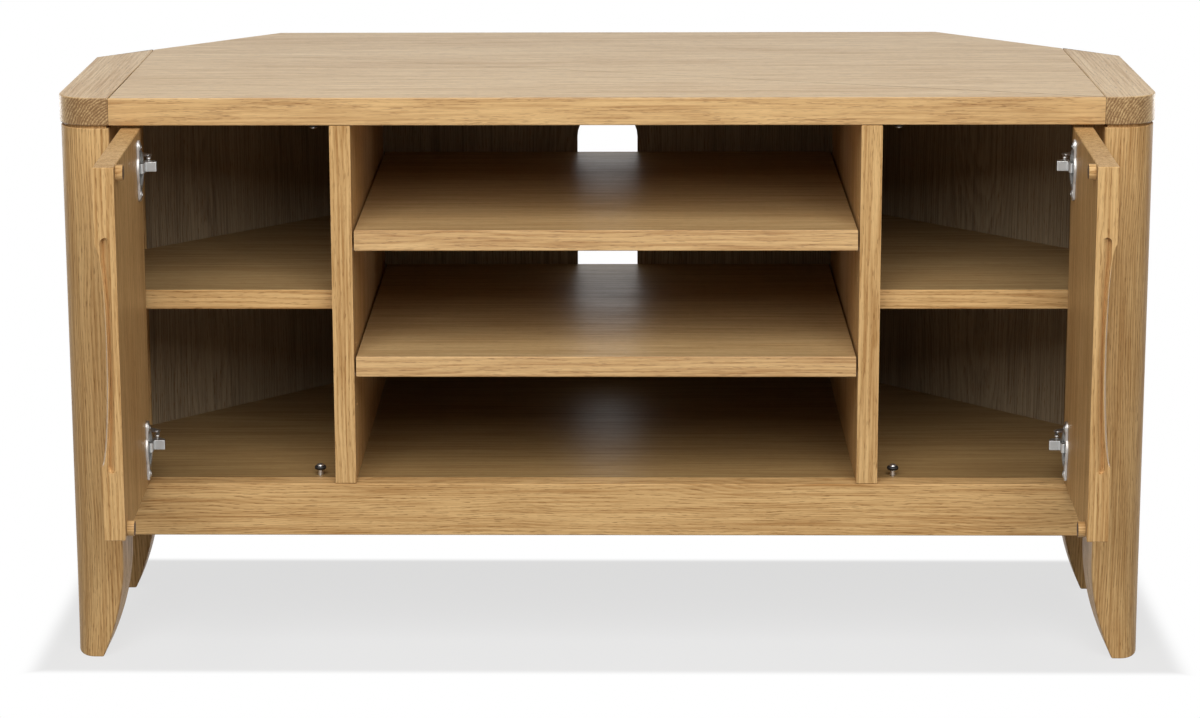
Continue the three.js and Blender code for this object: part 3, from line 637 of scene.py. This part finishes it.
for side, sign in SIDES.items():
    for place, front, back, corner in (("front", *FRONT_LEG, TOP_RADIUS),
                                       ("rear", *REAR_LEG, LEG_EASE)):
        node = f"{place}_leg_{side}"
        leg_oak = oak_material(node, "z", "x", 0.09, 0.05 * sign, shift=sign + front * 0.01,
                               wander=0.035, contrast=0.4)
        make_piece(f"made_{node}", leg(sign, front, back, corner), "cabinet",
                   leg_oak, [node])
print("four legs")

# %% [markdown]
# Small round fittings are turned: the shelf pins with their collars, and the catch posts, a stem
# with a polished dome and a rubber ring for the door's peg to close against. The ring's section
# is a flattened circle.

# %% Shelf pins and catch posts
PARTITION_FACE, SHELF, SEAT = 254.7, 21, 0.3
PIN_RADIUS, PIN_SHANK, PIN_OUT, COLLAR = 2.5, 7.9, 7.0, 4.0
FRONT_PINS, REAR_PINS = 29.0, 411.0
SHELF_TOPS = {"upper": 450.0, "lower": 319.5}


def shelf_pin(sign, y, z):
    """Radius against the distance from the partition's face: shank, collar, peg, rounded end."""
    turn = np.radians(np.linspace(0, 90, 6))
    end = [(PIN_RADIUS * math.cos(t), PIN_OUT + 2.0 * math.sin(t)) for t in turn]
    profile = [(0, -PIN_SHANK), (PIN_RADIUS, -PIN_SHANK), (PIN_RADIUS, SEAT), (3.6, 0.35),
               (COLLAR, 0.7), (3.6, 1.3), (PIN_RADIUS, 1.5)] + end
    return turned(profile, (sign * PARTITION_FACE, y, z), (-sign, 0, 0), 24)


for level, top in SHELF_TOPS.items():
    z = top - SHELF - SEAT - PIN_RADIUS
    for side, sign in SIDES.items():
        for place, y in (("front", FRONT_PINS), ("rear", REAR_PINS)):
            make_piece(f"made_{level}_pin_{side}_{place}", shelf_pin(sign, y, z), "cabinet",
                       nickel, [f"{level}_shelf_pin_{side}_{place}"])

CATCH_X, CATCH_Y = 294.2, 34.6
STEM_RADIUS, NECK_RADIUS, RING_RADIUS, RING_SECTION = 2.9, 2.6, 4.4, 1.6
BOARD_TOP = 186.0
STEMS = {"lower": 5.9, "upper": 3.0}


def catch(sign, level, z, up, stem):
    """A post's stem, neck and low dome, and the ring round its neck: the ring's radius is its
    own plus its section's times the cosine, and its height is 2 times the sine above the stem."""
    dome = np.radians(np.linspace(0, 90, 9))
    cap = np.stack([3.9 * np.cos(dome), stem + 4.3 + 1.8 * np.sin(dome)], -1)
    post = np.concatenate([[(0, SEAT), (STEM_RADIUS, SEAT), (STEM_RADIUS, stem - 0.5),
                            (NECK_RADIUS, stem - 0.3), (NECK_RADIUS, stem + 4.2),
                            (3.7, stem + 4.2)], cap])
    angle = np.radians(np.linspace(0, 360, 25))
    ring = np.stack([RING_RADIUS + RING_SECTION * np.cos(angle),
                     stem + 2 + 2 * np.sin(angle)], -1)
    centre = (sign * CATCH_X, CATCH_Y, z)
    name = f"{'left' if sign < 0 else 'right'}_{level}"
    make_piece(f"made_catch_post_{name}", turned(post, centre, (0, 0, up)), "cabinet",
               nickel, [f"catch_post_{name}"])
    make_piece(f"made_catch_ring_{name}", turned(ring, centre, (0, 0, up)), "cabinet",
               rubber, [f"catch_ring_{name}"])


for side, sign in SIDES.items():
    catch(sign, "lower", BOARD_TOP, 1, STEMS["lower"])
    catch(sign, "upper", UNDERSIDE, -1, STEMS["upper"])
print("eight pins, four catches")

# %% [markdown]
# Each door carries two short oak pegs that meet the catches, and two cup hinges. A hinge is four
# pieces of plated steel: a cup sunk in the door with a flange for its screws, a link that swings
# with the door, and an arm on a plate screwed to the leg.

# %% Strike pegs
DOOR_BOTTOM, DOOR_TOP, DOOR_BACK = 189.5, 553.5, 21.0
PEG_U, PEG_IN, PEG_RADIUS, PEG_OUT = 201.8, 7.8, 7.5, 7.0


def door_point(side, u, v, z):
    """A point on the door at a level, as an array."""
    x, y = door_plan(side, u, v)
    return np.array([float(x), float(y), z])


for side in SIDES:
    for level, z in (("upper", DOOR_TOP - PEG_IN), ("lower", DOOR_BOTTOM + PEG_IN)):
        foot = door_point(side, PEG_U, DOOR_BACK + SEAT, z)
        out = door_point(side, PEG_U, DOOR_BACK + SEAT + 1, z) - foot
        body = [(0, 0), (PEG_RADIUS, 0), (PEG_RADIUS, 6.2), (7.3, 6.7), (6.9, 6.9), (0, 6.9)]
        face = [(0, 6.7), (6.7, 6.7), (6.6, PEG_OUT), (0, PEG_OUT)]
        make_piece(f"made_strike_peg_{side}_{level}", turned(body, foot, out, 48),
                   f"door_{side}_body", peg_oak, [f"strike_peg_{side}_{level}"])
        make_piece(f"strike_peg_end_{side}_{level}", turned(face, foot, out, 48),
                   f"door_{side}_body", end_grain)
print("four strike pegs")

# %% Hinge cups and flanges
HINGE_IN = 38
HINGE_LEVELS = {"upper": DOOR_TOP - HINGE_IN, "lower": DOOR_BOTTOM + HINGE_IN}
CUP_U, CUP_RIM, CUP_RADIUS, CUP_DEPTH = 25.5, 21.3, 17.5, 12.0
FLANGE_RADIUS, FLANGE, FLANGE_SHIFT, FLANGE_ROUND, FLANGE_REACH = 19.5, 2.4, 8, 7.0, 24


def flange_outline(count=144):
    """Distance from the cup's centre in each direction: the further of a disc of radius 19.5 and
    an upright bar with round ends, 62 high and 14 wide, set 8 towards the free edge."""
    angle = np.linspace(0, 2 * math.pi, count, endpoint=False)
    reach = np.linspace(10, 40, 601)
    u, z = reach * np.cos(angle)[:, None], reach * np.sin(angle)[:, None]
    gap = np.hypot(u - FLANGE_SHIFT, np.maximum(np.abs(z) - FLANGE_REACH, 0))
    inside = (gap <= FLANGE_ROUND) | (reach <= FLANGE_RADIUS)
    far = np.where(inside, reach, 0).max(1)
    return np.stack([far * np.cos(angle), far * np.sin(angle)], -1)


def cup(side, z):
    """A flange ring and a bowl as one closed skin: rows go from the rim's inner edge out over
    the flange, down its edge, back under it and round the outside and inside of the bowl."""
    outline = flange_outline()
    unit = outline / np.linalg.norm(outline, axis=1, keepdims=True)
    drawn = drawn_in(outline, 0.5)
    hole, bowl, floor = CUP_RADIUS - 1.0, unit * CUP_RADIUS, 1.0 - CUP_DEPTH
    rows = [(unit * hole, FLANGE - 0.4), (unit * (hole + 0.4), FLANGE), (drawn, FLANGE),
            (outline, FLANGE - 0.5), (outline, 0.0), (bowl, 0.0), (bowl, -CUP_DEPTH),
            (unit * 0.01, -CUP_DEPTH), (unit * 0.01, floor), (unit * (hole - 2.0), floor),
            (unit * (hole - 0.5), floor + 0.6), (unit * hole, floor + 2.0)]
    grid = []
    for ring, out in rows:
        x, y = door_plan(side, CUP_U + ring[:, 0], np.full(len(ring), CUP_RIM + out))
        grid.append(np.stack([x, y, z + ring[:, 1]], -1))
    grid.append(grid[0])
    grid = np.stack(grid)
    return grid.reshape(-1, 3), grid_faces(*grid.shape[:2])


def screw(centre, out, radius=3.6):
    """A domed screw head with a sunk socket: radius against height above the seat."""
    profile = [(0, 0.0), (radius, 0.0), (radius, 0.4), (radius * 0.8, 1.0), (radius * 0.5, 1.25),
               (radius * 0.42, 1.25), (radius * 0.36, 0.5), (0, 0.35)]
    return turned(profile, centre, out, 24)


for side in SIDES:
    out = door_point(side, CUP_U, CUP_RIM + 1, 0) - door_point(side, CUP_U, CUP_RIM, 0)
    for level, z in HINGE_LEVELS.items():
        make_piece(f"made_hinge_cup_{side}_{level}", cup(side, z), f"door_{side}_body",
                   nickel, [f"hinge_cup_{side}_{level}"], 40)
        heads = [screw(door_point(side, CUP_U + FLANGE_SHIFT, CUP_RIM + FLANGE, z + dz), out, 4.0)
                 for dz in (-FLANGE_REACH, FLANGE_REACH)]
        make_piece(f"cup_screws_{side}_{level}", joined(heads), f"door_{side}_body",
                   satin)
print("hinge cups and flanges")

# %% [markdown]
# The link stands on the cup's floor and bends towards the leg. Its upright plate is the part that
# shines beside an open door. The arm's two cheeks reach past it above and below, and are joined
# by a web near the leg. All are pressed sheet, so their edges are eased a little.

# %% Links, arms and plates
LINK_HALF, CHEEK_NEAR, CHEEK_FAR = 4.9, 5.2, 7.0
BLOCK_NEAR, BLOCK_FAR, BLOCK_OUT, PLATE_OUT = 38, 66, 10.3, 2.3
link_plan = rounded([(18, 10.6), (25, 10.6), (25, 24.1), (22.8, 26.2), (13, 26.2), (13, 37.0),
                     (7.2, 37.0), (1.3, 31.0), (1.3, 24.1), (18, 24.1)],
                    [0.8, 0.8, 0.8, 0.8, 0.8, 1.2, 2.5, 2.5, 0.3, 1.2])
nose = arc(37.2, 13.7, 2.6, -180, 0, 8)
cheek_plan = np.concatenate([nose, rounded([
    (39.8, 31.9), (16.6, 50), (16.6, 66), (10.6, 66), (10.6, 41), (34.6, 26.0)],
    [4, 4, 1, 1, 3, 4])])
web_plan = rounded([(10.6, 44), (16.6, 50), (16.6, 66), (10.6, 66)], 1)


def hinge_link(side, z):
    """The pressed link, drawn in a little at all its edges."""
    return door_slab(side, link_plan, z - LINK_HALF, z + LINK_HALF, 0.5)


def hinge_arm(side, z):
    """Two cheeks, and the web between them with its adjusting screw."""
    parts = [fixed_slab(side, cheek_plan, z + CHEEK_NEAR, z + CHEEK_FAR, 0.4),
             fixed_slab(side, cheek_plan, z - CHEEK_FAR, z - CHEEK_NEAR, 0.4),
             fixed_slab(side, web_plan, z - CHEEK_FAR, z + CHEEK_FAR, 0.5)]
    x, y = fixed_plan(side, 16.5, 58)
    parts.append(screw((float(x), float(y), z), (-SIDES[side], 0, 0), 3.4))
    return joined(parts)


def hinge_plate(side, z):
    """The block under the arm and the sheet with its two screws against the leg."""
    u = np.array([SEAT, BLOCK_OUT, BLOCK_OUT, SEAT])
    block = rounded(np.stack([u, [BLOCK_NEAR, BLOCK_NEAR, BLOCK_FAR, BLOCK_FAR]], -1), 0.8)
    parts = [fixed_slab(side, block, z - CHEEK_FAR, z + CHEEK_FAR, 0.6)]
    sheet = rounded([(45, -23), (59, -23), (59, 23), (45, 23)], 5)
    x0, x1 = sorted(float(fixed_plan(side, u, 0)[0]) for u in (SEAT, PLATE_OUT))
    parts.append(slab(sheet + [0, z], x0, x1, 0.5, axis="x"))
    for dz in (-16, 16):
        x, y = fixed_plan(side, 2.2, 52)
        parts.append(screw((float(x), float(y), z + dz), (-SIDES[side], 0, 0)))
    return joined(parts)


for side in SIDES:
    for level, z in HINGE_LEVELS.items():
        make_piece(f"made_hinge_link_{side}_{level}", hinge_link(side, z), f"door_{side}_body",
                   satin, [f"hinge_link_{side}_{level}"])
        make_piece(f"made_hinge_arm_{side}_{level}", hinge_arm(side, z), "cabinet",
                   nickel, [f"hinge_arm_{side}_{level}"])
        make_piece(f"made_hinge_plate_{side}_{level}", hinge_plate(side, z), "cabinet",
                   nickel, [f"hinge_plate_{side}_{level}"])
print("links, arms and plates")

# %% [markdown]
# The studio is a pale floor that fades to white outside a soft rectangle round the cabinet, so
# that the cabinet stands in white. The rectangle is greyer than the white around it. It is a
# painted shadow, in which the floor's real shadow also shows. The world shows plain white to the
# camera and to mirrors, and lights everything else gently.

# %% Floor and world


WHITE = (1, 1, 1, 1)
FLOOR_REACH = 12.0
FLOOR_GREY = (0.42, 0.42, 0.425, 1)
# The soft rectangle of painted shadow round the cabinet is set by where it fades across and in
# depth, its middle in depth, and the share of plain white inside it.
SHADOW_PATCH_WIDE, SHADOW_PATCH_DEEP, SHADOW_PATCH_MIDDLE = (0.565, 0.605), (0.175, 0.20), 0.022
SHADOW_PATCH_WHITE = 0.7
WORLD_LIGHT = 0.09


def rays_that_show(n):
    """One for rays that come from the camera, a mirror or a clear pane, and else zero."""
    path = n.add("ShaderNodeLightPath").outputs
    return n.math("MAXIMUM", path["Is Camera Ray"],
                  n.math("MAXIMUM", path["Is Glossy Ray"], path["Is Transmission Ray"]))


def mixed_to(n, share, first, second, place):
    """The first shader gives way to the second by the share, and the result goes to a place."""
    blend = n.add("ShaderNodeMixShader")
    for value, socket in zip((share, first, second), blend.inputs):
        n.put(value, socket)
    n.put(blend.outputs[0], place)


def make_floor():
    """A square of floor. In a soft rectangle under and beside the cabinet it is part plain white
    to the eye and part lit as paint is, so that it keeps the cabinet's real shadow, paled. The
    rectangle as a whole is a painted shadow, greyer than the floor outside. Outside it the floor
    is all white
    to the eye: the mask is the larger of two smooth steps, of the distance across and in depth."""
    mesh = bpy.data.meshes.new("floor")
    signs = [(-1, -1, 0), (1, -1, 0), (1, 1, 0), (-1, 1, 0)]
    mesh.from_pydata((np.array(signs) * FLOOR_REACH).tolist(), [], [(0, 1, 2, 3)])
    floor = bpy.data.objects.new("floor", mesh)
    bpy.context.scene.collection.objects.link(floor)
    material = bpy.data.materials.new("studio floor")
    material.use_nodes = True
    tree = material.node_tree
    n = Nodes(tree)
    shader = tree.nodes["Principled BSDF"]
    shader.inputs["Base Color"].default_value = FLOOR_GREY
    shader.inputs["Roughness"].default_value = 0.9
    shader.inputs["Specular IOR Level"].default_value = 0.1
    parts = n.add("ShaderNodeSeparateXYZ")
    n.put(n.add("ShaderNodeTexCoord").outputs["Object"], parts.inputs[0])
    x, y, _ = parts.outputs
    # The mask of the painted shadow gives the white share inside the soft rectangle. It rises to
    # all white outside it.
    aside = n.ramp(n.math("ABSOLUTE", x), *SHADOW_PATCH_WIDE)
    ahead = n.ramp(n.math("ABSOLUTE", n.math("SUBTRACT", y, SHADOW_PATCH_MIDDLE)), *SHADOW_PATCH_DEEP)
    white_outside_painted_shadow = n.ramp(n.math("MAXIMUM", aside, ahead), 0.0, 1.0, SHADOW_PATCH_WHITE, 1.0)
    white = n.add("ShaderNodeEmission")
    white.inputs["Color"].default_value = WHITE
    white.inputs["Strength"].default_value = 1.0
    mixed_to(n, n.math("MULTIPLY", white_outside_painted_shadow, rays_that_show(n)), shader.outputs[0],
             white.outputs[0], tree.nodes["Material Output"].inputs["Surface"])
    floor.data.materials.append(material)
    return floor


def make_world():
    """White for rays that show the background, and a soft grey light for the rest."""
    world = bpy.data.worlds.new("studio")
    bpy.context.scene.world = world
    world.use_nodes = True
    n = Nodes(world.node_tree)
    base = world.node_tree.nodes["Background"]
    base.inputs["Color"].default_value = WHITE
    base.inputs["Strength"].default_value = WORLD_LIGHT
    shown = n.add("ShaderNodeBackground")
    shown.inputs["Color"].default_value = WHITE
    shown.inputs["Strength"].default_value = 1.0
    mixed_to(n, rays_that_show(n), base.outputs[0], shown.outputs[0],
             world.node_tree.nodes["World Output"].inputs["Surface"])


floor = make_floor()
make_world()
print("floor and world ready")

# %% [markdown]
# One very large soft lamp does the rest. It leans over the front, so that light on the shelves
# fades evenly from their front edges inwards. Two weak ones stand low behind and only light the
# rear.

# %% Lamps


def lamp(name, place, aim, width, height, power):
    """A rectangular soft lamp that looks from its place towards its aim."""
    data = bpy.data.lights.new(name, "AREA")
    data.shape = "RECTANGLE"
    data.size, data.size_y, data.energy = width, height, power
    item = bpy.data.objects.new(name, data)
    item.location = place
    item.rotation_euler = (Vector(aim) - Vector(place)).to_track_quat("-Z", "Y").to_euler()
    bpy.context.scene.collection.objects.link(item)
    return item


lamps = [
    lamp("front", (0.0, -2.63, 2.755), (0, 0, 0.3), 3.4, 2.8, 153),
    lamp("rear left", (-2.3, 2.3, 0.3), (0, 0.1, 0.25), 1.0, 0.5, 12),
    lamp("rear right", (2.3, 2.3, 0.3), (0, 0.1, 0.25), 1.0, 0.5, 12),
]
print("lamps", len(lamps))

# %% [markdown]
# The photograph was taken with a long lens from a little above the top. The camera here stands
# where it shows the same faces in the same sizes: about three metres in front, looking down
# twelve degrees, with a slight turn and tilt and a small shift for the framing.

# %% Camera
data = bpy.data.cameras.new("camera")
data.sensor_width = 36.0
data.lens = 3216.5 / 1200 * 36.0
data.shift_x, data.shift_y = 0.0302, -0.1
camera = bpy.data.objects.new("camera", data)
bpy.context.scene.collection.objects.link(camera)
yaw, pitch, roll = (math.radians(a) for a in (1.060, 11.960, 0.246))
turn = (Matrix.Rotation(yaw, 4, "Z") @ Matrix.Rotation(math.pi / 2 - pitch, 4, "X")
        @ Matrix.Rotation(-roll, 4, "Z"))
camera.matrix_world = Matrix.Translation(in_frame([16.4, -3153.6, 1109.6]).tolist()) @ turn
bpy.context.scene.camera = camera
bpy.context.scene.view_settings.view_transform = "Standard"
print("camera at", [round(v, 3) for v in camera.matrix_world.translation])
